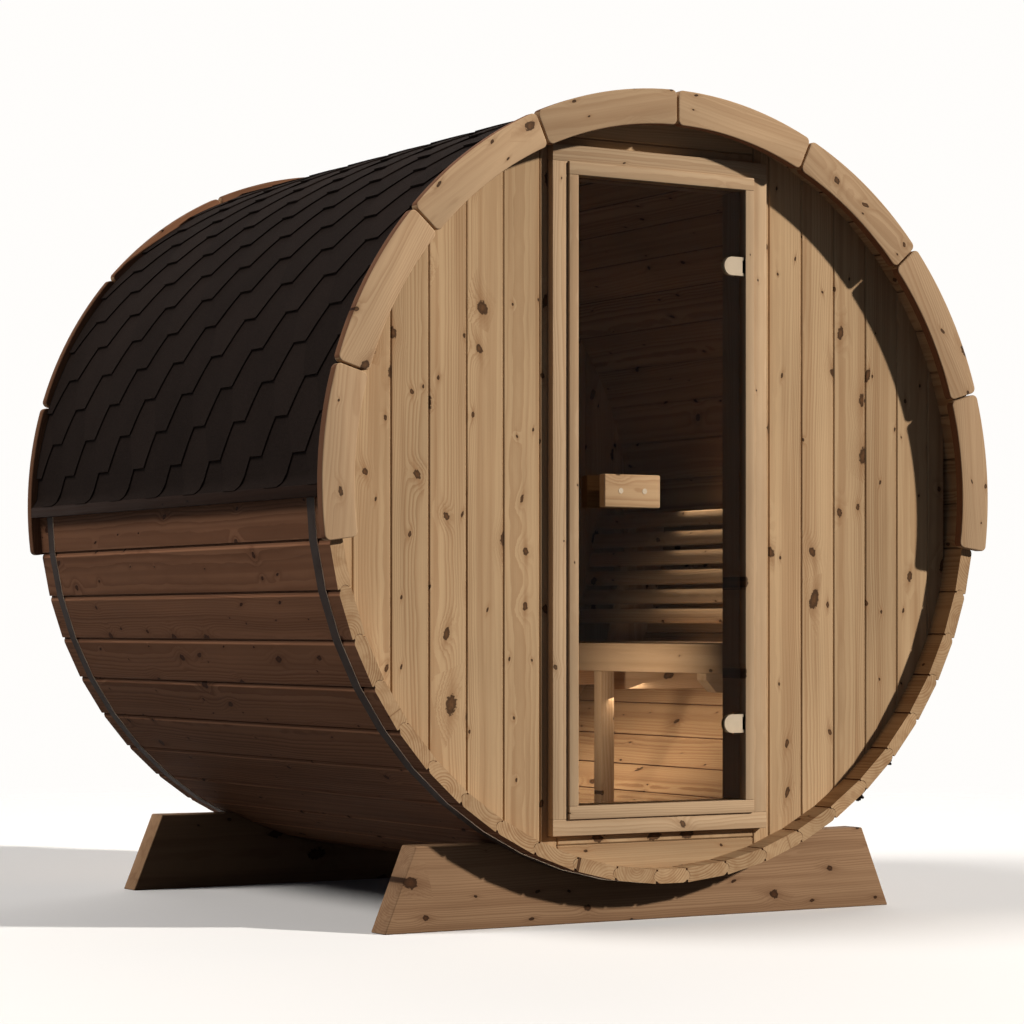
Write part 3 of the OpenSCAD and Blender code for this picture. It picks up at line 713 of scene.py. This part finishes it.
def ring_outline(a0, a1):
    """A ring board between two angles, with round corners and half a gap at each end."""
    corner, gap = RING_CORNER, RING_GAP / 2
    ro, ri = RING_OUT - corner, RING_IN + corner
    so = math.degrees(math.asin((corner + gap) / ro))
    si = math.degrees(math.asin((corner + gap) / ri))
    return (
        arc((0, 0), RING_OUT, a0 + so, a1 - so, LONG_STEPS)
        + arc(polar(ro, a1 - so), corner, a1, a1 + 90, CORNER_STEPS)[1:]
        + arc(polar(ri, a1 - si), corner, a1 + 90, a1 + 180, CORNER_STEPS)
        + arc((0, 0), RING_IN, a1 - si, a0 + si, LONG_STEPS)[1:]
        + arc(polar(ri, a0 + si), corner, a0 + 180, a0 + 270, CORNER_STEPS)[1:]
        + arc(polar(ro, a0 + so), corner, a0 + 270, a0 + 360, CORNER_STEPS)[:-1]
    )


def rings():
    for number, (node, face) in enumerate((("front_ring", -Y), ("rear_ring", Y))):
        low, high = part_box(node)
        timber = Timber(SEEDS["rings"] + number)
        for i in range(RING_BOARDS):
            a0 = 180 + (i - RING_BOARDS / 2) * RING_BOARD_ANGLE
            along = polar(1, a0 + RING_BOARD_ANGLE / 2 + 90)
            along = Vector((along.x, 0, along.y))
            timber.cut(ring_outline(a0, a0 + RING_BOARD_ANGLE), low.y, high.y - low.y,
                       along, along.cross(Y), THICK_EASED, 3, 50, face)
        timber.piece(node + "_boards", "ring_wood", node)


# ---------------------------------------------------------------- roof

TAB_PITCH, TAB_FLAT, TAB_SLANT, COURSE = 0.238, 0.072, 0.047, 0.0982
FELT_T = 0.0036
TAB_ROWS = (0.0, 0.25, 0.5, 0.75, 1.0, 1.03, 1.6, 2.12)
COURSE_SHIFT = (0.131, 0.012)
LIP_SHARE, MOST_CURL = 0.35, 0.0005
LOWEST_FLAT, LAST_COURSE, OVER_END = 0.085, 0.02, 0.45
STRIP_ROWS, STRIP_STEP, STRIP_TONE = 7, 0.006, 0.4
FLARE_H, FLARE_OUT = 0.032, 0.015
ROOF_TOP_R = 0.0115


def roof_point(y, h, lift, side, eave):
    """A point on the roof h up its curve from the eave, lift above the barrel's staves."""
    angle = math.degrees(math.acos(-eave / STAVE_OUT) + h / (STAVE_OUT + ROOF_TOP_R))
    p = polar(STAVE_OUT + lift, min(angle, 180.0))
    flare = FLARE_OUT * max(0.0, 1 - h / FLARE_H) ** 2
    return Vector((side * (p.x + flare), y, AXIS_Z + p.y))


def shingle_lift(h, start):
    """How far a course's face lies above the staves: each one rests on the course below."""
    return ROOF_TOP_R - (h - start) * FELT_T / COURSE


def tab_half(share):
    """Half the width of a tab, share of a course above its lower edge."""
    if share > 1.0:
        return TAB_PITCH / 2 - 0.0004
    return TAB_FLAT / 2 + TAB_SLANT * share


def close_sheet(bm, grid, rows, columns):
    """The faces of a sheet whose corners are grid[row, column, 0] below and [.., .., 1] above."""
    for i in range(rows):
        for j in range(columns):
            corners = ((i, j), (i, j + 1), (i + 1, j + 1), (i + 1, j))
            for face in (0, 1):
                bm.faces.new([grid[corner + (face,)] for corner in corners])
    rim = [(i, 0) for i in range(rows)] + [(rows, j) for j in range(columns)]
    rim += [(i, columns) for i in range(rows, 0, -1)] + [(0, j) for j in range(columns, 0, -1)]
    for here, there in zip(rim, rim[1:] + rim[:1]):
        bm.faces.new((grid[here + (0,)], grid[there + (0,)], grid[there + (1,)], grid[here + (1,)]))


def felt_piece(bm, name, *stands_for):
    bmesh.ops.recalc_face_normals(bm, faces=bm.faces)
    mesh = bpy.data.meshes.new(name)
    bm.to_mesh(mesh)
    bm.free()
    smooth_by_angle(mesh, SMOOTH_FELT)
    finish_piece(name, mesh, FELT, "cabin", stands_for)


def sheet(bm, tones, roof, start, rows, y_mid, tone, curl=0.0, columns=4):
    """A bent sheet of felt from rows of (height over its lower edge, half its width)."""
    side, eave, arc_length = roof
    grid = {}
    for i, (over, half) in enumerate(rows):
        h = start + over
        held = min(max(h, 0.0), arc_length)
        lip = curl * max(0.0, 1 - over / (LIP_SHARE * COURSE)) ** 2
        face = shingle_lift(h, start) + lip
        y0, y1 = max(y_mid - half, FRONT_Y), min(y_mid + half, REAR_Y)
        y0, y1 = min(y0, REAR_Y), max(y1, FRONT_Y)
        for j in range(columns + 1):
            y = y0 + (max(y1, y0) - y0) * j / columns
            grid[i, j, 0] = bm.verts.new(roof_point(y, held, face - FELT_T, side, eave))
            grid[i, j, 1] = bm.verts.new(roof_point(y, held, face, side, eave))
    close_sheet(bm, grid, len(rows) - 1, columns)
    for vert in grid.values():
        vert[tones] = tone


def shingles(node, side):
    """Courses of six-sided tabs over a plain strip along the eave."""
    luck = random.Random(SEEDS[node])
    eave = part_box(node)[0].z - AXIS_Z
    half_turn = math.pi - math.acos(-eave / STAVE_OUT)
    arc_length = half_turn * (STAVE_OUT + ROOF_TOP_R)
    roof = (side, eave, arc_length)
    bm = bmesh.new()
    tones = bm.verts.layers.float.new("tone")
    rows = [(share * COURSE, tab_half(share)) for share in TAB_ROWS]
    over_end = TAB_PITCH * OVER_END
    course = -1
    while LOWEST_FLAT + course * COURSE < arc_length - LAST_COURSE:
        start = LOWEST_FLAT + course * COURSE
        y = FRONT_Y + COURSE_SHIFT[course % 2] - TAB_PITCH
        while y < REAR_Y + TAB_PITCH:
            if FRONT_Y - over_end < y < REAR_Y + over_end:
                sheet(bm, tones, roof, start, rows, y, luck.random(), luck.uniform(0.0, MOST_CURL))
            y += TAB_PITCH
        course += 1
    half = (REAR_Y - FRONT_Y) / 2
    strip = LOWEST_FLAT - 2 * COURSE
    strip_rows = [(i * STRIP_STEP - strip, half) for i in range(STRIP_ROWS)] + [(2 * COURSE, half)]
    sheet(bm, tones, roof, strip, strip_rows, (FRONT_Y + REAR_Y) / 2, STRIP_TONE, columns=2)
    bmesh.ops.dissolve_degenerate(bm, dist=0.00002, edges=bm.edges)
    felt_piece(bm, node + "_shingles", node)


CAP_STEP, CAP_LENGTH, CAP_HALF_ANGLE = 0.257, 0.34, 5.4
CAP_LIFT, CAP_RISE = 0.002, 0.0072


def ridge_caps():
    """Short shingles bent over the ridge, each lapping the one behind it."""
    luck = random.Random(SEEDS["ridge"])
    bm = bmesh.new()
    tones = bm.verts.layers.float.new("tone")
    across, along = 10, 4
    for k in range(int((REAR_Y - FRONT_Y) / CAP_STEP) + 1):
        y0 = FRONT_Y + k * CAP_STEP
        y1 = min(y0 + CAP_LENGTH, REAR_Y)
        tone = luck.random()
        grid = {}
        for i in range(across + 1):
            angle = 180 + CAP_HALF_ANGLE * (2 * i / across - 1)
            for j in range(along + 1):
                y = y0 + (y1 - y0) * j / along
                lift = ROOF_TOP_R + CAP_LIFT + CAP_RISE * (1 - (y - y0) / CAP_LENGTH)
                for face, drop in ((1, 0.0), (0, FELT_T)):
                    p = polar(STAVE_OUT + lift - drop, angle)
                    grid[i, j, face] = bm.verts.new((p.x, y, AXIS_Z + p.y))
                    grid[i, j, face][tones] = tone
        close_sheet(bm, grid, across, along)
    felt_piece(bm, "ridge_caps")


LATH_BITE = 0.001


def eave_laths():
    low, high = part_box("eave_laths")
    timber = Timber(SEEDS["laths"])
    for side in (-1, 1):
        a, b = sorted((side * (STAVE_OUT - LATH_BITE), side * high.x))
        timber.plank((a, low.y, low.z), (b, high.y, high.z), Y, Z, BENCH_EASED)
    timber.piece("eave_lath_boards", "lath_wood", "eave_laths")


# ---------------------------------------------------------------- cradles

SADDLE_STEPS, SADDLE_BITE, TOP_EDGE = 24, 0.0005, 0.001


def cradles():
    """A plank on edge with sloping ends, and a saddle cut to the barrel in its top."""
    for number, node in enumerate(("front_cradle", "rear_cradle")):
        low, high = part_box(node)
        bottom, top = low.z - AXIS_Z, high.z - AXIS_Z
        corners = sorted({round(v.co.x, 4) for v in frame["nodes"][node].data.vertices
                          if v.co.z > high.z - TOP_EDGE})
        top_x, saddle_x = corners[-1], corners[len(corners) // 2]
        half_angle = math.degrees(math.asin(saddle_x / STAVE_OUT))
        saddle = arc((0, 0), STAVE_OUT - SADDLE_BITE, half_angle, -half_angle, SADDLE_STEPS)
        outline = [(low.x, bottom), (high.x, bottom), (top_x, top)] + saddle + [(-top_x, top)]
        timber = Timber(SEEDS["cradles"] + number)
        timber.cut(outline, low.y, high.y - low.y, X, Z, THICK_EASED, 3, 20)
        timber.piece(node + "_plank", "cradle_wood", node)


# ---------------------------------------------------------------- bench

SAME_CORNER = 0.00005


def solids(node):
    """The corners of each separate solid of a node, in the order of the node's own corners."""
    mesh = frame["nodes"][node].data
    bm = bmesh.new()
    bm.from_mesh(mesh)
    bmesh.ops.remove_doubles(bm, verts=bm.verts, dist=SAME_CORNER)
    seen, found = set(), []
    for start in bm.verts:
        if start in seen:
            continue
        group, edge = [], [start]
        seen.add(start)
        while edge:
            v = edge.pop()
            group.append(v.co.copy())
            for e in v.link_edges:
                other = e.other_vert(v)
                if other not in seen:
                    seen.add(other)
                    edge.append(other)
        found.append(group)
    bm.free()
    return found


def limits(points):
    low = Vector([min(p[i] for p in points) for i in range(3)])
    high = Vector([max(p[i] for p in points) for i in range(3)])
    return low, high


def hull_outline(points):
    """The corners of a convex solid in the front view, in order round it."""
    flat = sorted({(round(p.x, 5), round(p.z - AXIS_Z, 5)) for p in points})

    def half(row):
        found = []
        for p in row:
            while len(found) > 1 and (
                    (found[-1][0] - found[-2][0]) * (p[1] - found[-2][1])
                    - (found[-1][1] - found[-2][1]) * (p[0] - found[-2][0])) <= 1e-9:
                found.pop()
            found.append(p)
        return found[:-1]
    return half(flat) + half(flat[::-1])


def bench():
    seat = Timber(SEEDS["seat"])
    for points in solids("bench_seat"):
        low, high = limits(points)
        seat.plank(low, high, Y, X, WELL_EASED, 3)
    seat.piece("bench_seat_boards", "bench_wood", "bench_seat")
    rows = (("bench_supports", X, Z, BENCH_EASED), ("backrest_slats", Y, Z, SLAT_EASED),
            ("backrest_posts", Z, X, BENCH_EASED))
    for number, (node, along, across, edge) in enumerate(rows):
        timber = Timber(SEEDS["bench"] + number)
        for points in solids(node):
            low, high = limits(points)
            timber.cut(hull_outline(points), low.y, high.y - low.y, along, across, edge, 2, 20)
        timber.piece(node + "_timber", "bench_wood", node)


# ---------------------------------------------------------------- metalwork and handles

class Metalwork:
    """Metal shapes gathered into one mesh."""

    def __init__(self):
        self.bm = bmesh.new()

    def take(self, bm, round_by=0.0, segments=2, least=30):
        soften(bm, round_by, segments, least)
        mesh = bpy.data.meshes.new("part")
        bm.to_mesh(mesh)
        bm.free()
        self.bm.from_mesh(mesh)
        bpy.data.meshes.remove(mesh)

    def rod(self, start, end, radius, round_by=0.0, sides=32):
        start, end = Vector(start), Vector(end)
        turn = (end - start).to_track_quat("Z", "Y").to_matrix().to_4x4()
        outline = [polar(radius, 360 * i / sides + 90)[:] for i in range(sides)]
        place = Matrix.Translation(start) @ turn
        bm = prism(outline, lambda a, b, c: place @ Vector((a, b, c)), (end - start).length)
        self.take(bm, round_by, 2, 40)

    def piece(self, name, material, slot, *stands_for, body="cabin", smooth=SMOOTH_METAL):
        mesh = bpy.data.meshes.new(name)
        self.bm.to_mesh(mesh)
        self.bm.free()
        smooth_by_angle(mesh, smooth)
        return finish_piece(name, mesh, material, body, stands_for)


HINGE_H, PLATE_T, COVER_T, KNUCKLE_R = 0.050, 0.0032, 0.0036, 0.0065
TONGUE, COVER_PAST_PIN, PLATE_SHORT_OF_PIN = 0.0155, 0.006, 0.0105
TONGUE_IN_PLATE, COVER_CLEAR, PLATE_EASED, SHARP = 0.008, 0.0008, 0.0009, 0.0005
HALF_ROUND_STEPS = 20


def d_plate(parts, x0, x1, mid_z, y0, y1):
    """A plate with a round end at x0 and a square end at x1."""
    radius = HINGE_H / 2
    outline = [(x1, mid_z - radius), (x1, mid_z + radius)]
    outline += arc((x0 + radius, mid_z), radius, 180, 360, HALF_ROUND_STEPS)
    parts.take(prism(outline, front_view(y0), y1 - y0), PLATE_EASED, 2)


def hinge_clamps():
    """D-shaped plates on both faces of the glass, a cover, and the knuckle on the pin."""
    low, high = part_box("hinge_clamps")
    glass_low, glass_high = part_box("door_glass")
    pin = Vector(frame["joints"][0]["pos_m"])
    parts = Metalwork()
    for side in (-1, 1):
        mid_z = side * (high.z - AXIS_Z - HINGE_H / 2)
        edge_x = pin.x - PLATE_SHORT_OF_PIN
        d_plate(parts, low.x, edge_x, mid_z, glass_low.y - PLATE_T, glass_low.y)
        d_plate(parts, low.x, edge_x, mid_z, glass_high.y, glass_high.y + PLATE_T)
        cover_y = pin.y - KNUCKLE_R - COVER_CLEAR
        d_plate(parts, low.x, pin.x + COVER_PAST_PIN, mid_z, cover_y - COVER_T, cover_y)
        start_x = edge_x - TONGUE_IN_PLATE
        block = [(start_x, mid_z - TONGUE), (pin.x, mid_z - TONGUE),
                 (pin.x, mid_z + TONGUE), (start_x, mid_z + TONGUE)]
        parts.take(prism(block, front_view(glass_low.y), glass_high.y - glass_low.y), 0.0004, 1)
        parts.rod((pin.x, pin.y, AXIS_Z + mid_z - TONGUE), (pin.x, pin.y, AXIS_Z + mid_z + TONGUE),
                  KNUCKLE_R, SHARP)
    parts.piece("hinge_clamp_plates", SATIN, "hinge_metal", "hinge_clamps", body="door")


HEAD_SINK, HEAD_PROUD, HEAD_RIM = 0.004, 0.0012, 0.0015
SOCKET_SINK, SOCKET_PROUD = 0.002, 0.0016


def handles():
    """The two blocks on the glass and the bolts that hold them."""
    for number, node in enumerate(("outer_handle", "inner_handle")):
        timber = Timber(SEEDS["handles"] + number)
        low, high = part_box(node)
        timber.plank(low, high, X, Z, WELL_EASED, 3)
        timber.piece(node + "_block", "handle_wood", node, body="door")
    low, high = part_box("handle_bolts")
    radius = (high.z - low.z) / 2
    parts = Metalwork()
    for x in (low.x + radius, high.x - radius):
        parts.rod((x, low.y + SOCKET_SINK, AXIS_Z), (x, high.y - SOCKET_SINK, AXIS_Z), radius * 0.6)
        for y, out in ((low.y, -1), (high.y, 1)):
            parts.rod((x, y - out * HEAD_SINK, AXIS_Z), (x, y + out * HEAD_PROUD, AXIS_Z),
                      radius + HEAD_RIM, 0.0008)
            parts.rod((x, y - out * SOCKET_SINK, AXIS_Z), (x, y + out * SOCKET_PROUD, AXIS_Z),
                      radius * 0.5, 0.0003, 6)
    parts.piece("handle_bolt_heads", SATIN, "hinge_metal", "handle_bolts", body="door")


def catch():
    low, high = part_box("door_catch")
    parts = Metalwork()
    bottom, top = low.z - AXIS_Z, high.z - AXIS_Z
    outline = [(low.x, bottom), (high.x, bottom), (high.x, top), (low.x, top)]
    parts.take(prism(outline, front_view(low.y), high.y - low.y), EASED, 3)
    parts.piece("door_catch_block", PALE_METAL, "hinge_metal", "door_catch")


EAR_ANGLE, EAR_SPREAD = 43.15, 7.1
EAR_W, EAR_T, EAR_H, EAR_FOOT, EAR_LAP = 0.040, 0.006, 0.046, 0.002, 0.045
BOLT_LIFT, BOLT_R, NUT_R, WASHER_R, WASHER_T = 0.038, 0.005, 0.0092, 0.0115, 0.0016


def tensioners():
    """The bent ears of each band, with the bolt and nuts that pull them together."""
    parts = Metalwork()
    foot, tip, bolt_r = STAVE_OUT + EAR_FOOT, STAVE_OUT + EAR_H, STAVE_OUT + BOLT_LIFT
    for points in solids("band_tensioners"):
        low, high = limits(points)
        y = (low.y + high.y) / 2
        for side in (-1, 1):
            angle = EAR_ANGLE + side * EAR_SPREAD / 2
            out, over = polar(1, angle), polar(1, angle + 90) * side
            a = out * foot - over * EAR_T / 2
            outline = [a, a + out * (tip - foot), a + out * (tip - foot) + over * EAR_T,
                       a + out * EAR_T + over * EAR_T, a + out * EAR_T * 0.6 + over * EAR_LAP,
                       a + over * EAR_LAP]
            ear = prism([p[:] for p in outline], front_view(y - EAR_W / 2), EAR_W)
            parts.take(ear, 0.0026, 3)
        out, over = polar(1, EAR_ANGLE), polar(1, EAR_ANGLE + 90)
        centre = Vector((out.x * bolt_r, y, AXIS_Z + out.y * bolt_r))
        run = Vector((over.x, 0, over.y))
        half = bolt_r * math.tan(math.radians(EAR_SPREAD / 2))
        parts.rod(centre - run * (half + 0.012), centre + run * (half + 0.019), BOLT_R, EASED)
        for at, thick in ((-half - 0.011, 0.008), (half + 0.003, 0.008), (half + 0.011, 0.006)):
            parts.rod(centre + run * at, centre + run * (at + thick), NUT_R, 0.0006, 6)
        for at in (-half - 0.0048, half + 0.003):
            parts.rod(centre + run * at, centre + run * (at + WASHER_T), WASHER_R, 0.0003)
    parts.piece("band_tensioner_ears", DARK_STEEL, "dark_steel", "band_tensioners")


def dress(node, material):
    """Gives a CAD node that stays its finish."""
    mesh = frame["nodes"][node].data
    mesh.materials.clear()
    mesh.materials.append(material)


# ---------------------------------------------------------------- stage, light and camera

CAMERA_PLACE = (-4.5266, -7.4954, 0.7775)
CAMERA_TURN = 31.459
CAMERA_LENS, CAMERA_SENSOR, CAMERA_LIFT = 107.22, 36.0, 0.111
SUN_TRAVEL = (-0.594, 0.676, -0.435)
FLOOR_COLOUR, FLOOR_BOUNCE = rgb(0.9, 0.89, 0.875), rgb(0.11, 0.11, 0.115)
FLOOR_FADE, FLOOR_SIZE = (3.2, 6.5), 8.0
SKY, BACKGROUND = rgb(0.046, 0.054, 0.068), rgb(1.0, 0.985, 0.965)
LAMP_COLOUR = (1.0, 0.93, 0.84)


def floor_and_world():
    """A pale floor that fades out round the object, in front of a pale background."""
    n = Nodes("floor")
    x, y, _ = n.split(n.make("ShaderNodeTexCoord").outputs["Object"])
    fade = n.step(n.length(x, y), *FLOOR_FADE)
    shade = n.mix(n.seen_directly(), FLOOR_BOUNCE, FLOOR_COLOUR)
    matt = n.make("ShaderNodeBsdfDiffuse", {"Color": shade})
    material = n.finish_mixed(fade, matt, n.make("ShaderNodeBsdfTransparent"))
    mesh = bpy.data.meshes.new("floor")
    corners = [(a * FLOOR_SIZE, b * FLOOR_SIZE, 0) for a, b in ((-1, -1), (1, -1), (1, 1), (-1, 1))]
    mesh.from_pydata(corners, [], [(0, 1, 2, 3)])
    mesh.materials.append(material)
    floor = bpy.data.objects.new("floor", mesh)
    bpy.context.scene.collection.objects.link(floor)

    n = Nodes("studio", bpy.data.worlds.new("studio"))
    sky = n.make("ShaderNodeBackground", {"Color": SKY})
    pale = n.make("ShaderNodeBackground", {"Color": BACKGROUND})
    bpy.context.scene.world = n.finish_mixed(n.seen_directly(), sky, pale)


def lamp(name, kind, energy, place=(0, 0, 0), towards=None, **settings):
    data = bpy.data.lights.new(name, kind)
    data.energy = energy
    for key, value in settings.items():
        setattr(data, key, value)
    thing = bpy.data.objects.new(name, data)
    thing.location = place
    if towards is not None:
        thing.rotation_mode = "QUATERNION"
        thing.rotation_quaternion = Vector(towards).to_track_quat("-Z", "Y")
    thing.visible_camera = thing.visible_glossy = thing.visible_transmission = False
    bpy.context.scene.collection.objects.link(thing)


def lights():
    """A low sun in front on the right, soft light on the other sides, and the lit inside.

    The places of the lamps inside are from the barrel's axis."""
    for name, energy, towards, width, colour in (
            ("key", 4.0, SUN_TRAVEL, 2.5, (1.0, 0.955, 0.9)),
            ("left_sky", 1.9, (1.0, -0.4, -1.2), 26, (1.0, 0.96, 0.92)),
            ("back_sky", 1.7, (-0.5, -0.8, -0.33), 60, (1.0, 0.97, 0.94))):
        lamp(name, "SUN", energy, towards=towards, angle=math.radians(width), color=colour)
    for name, energy, place, towards, size, spread in (
            ("on_bench_front", 1.15, (-0.72, -0.74, -0.5), (1.0, 0.42, -0.05), (0.10, 0.14), 44),
            ("under_bench", 3.2, (0.40, 0.25, -0.54), (0.30, 0, -1), (0.80, 0.16), 180),
            ("on_slats", 0.9, (0.905, -0.05, 0.19), (-0.2249, 0, -0.9744), (0.70, 0.02), 30)):
        lamp(name, "AREA", energy, Vector(place) + AXIS_Z * Z, towards, shape="RECTANGLE",
             size=size[0], size_y=size[1], spread=math.radians(spread), color=LAMP_COLOUR)


def camera():
    data = bpy.data.cameras.new("camera")
    data.lens = CAMERA_LENS
    data.sensor_width = CAMERA_SENSOR
    data.shift_y = CAMERA_LIFT
    thing = bpy.data.objects.new("camera", data)
    thing.location = CAMERA_PLACE
    thing.rotation_euler = (math.radians(90), 0, -math.radians(CAMERA_TURN))
    bpy.context.scene.collection.objects.link(thing)
    bpy.context.scene.camera = thing


# ---------------------------------------------------------------- the whole scene

barrel()
front_wall()
rear_wall()
plain_boards()
rings()
shingles("roof_right", 1)
shingles("roof_left", -1)
ridge_caps()
eave_laths()
cradles()
bench()
hinge_clamps()
handles()
catch()
tensioners()
dress("steel_bands", STEEL)
dress("hinge_brackets", SATIN)
dress("door_glass", GLASS)
floor_and_world()
lights()
camera()
bpy.context.scene.view_settings.view_transform = "Standard"
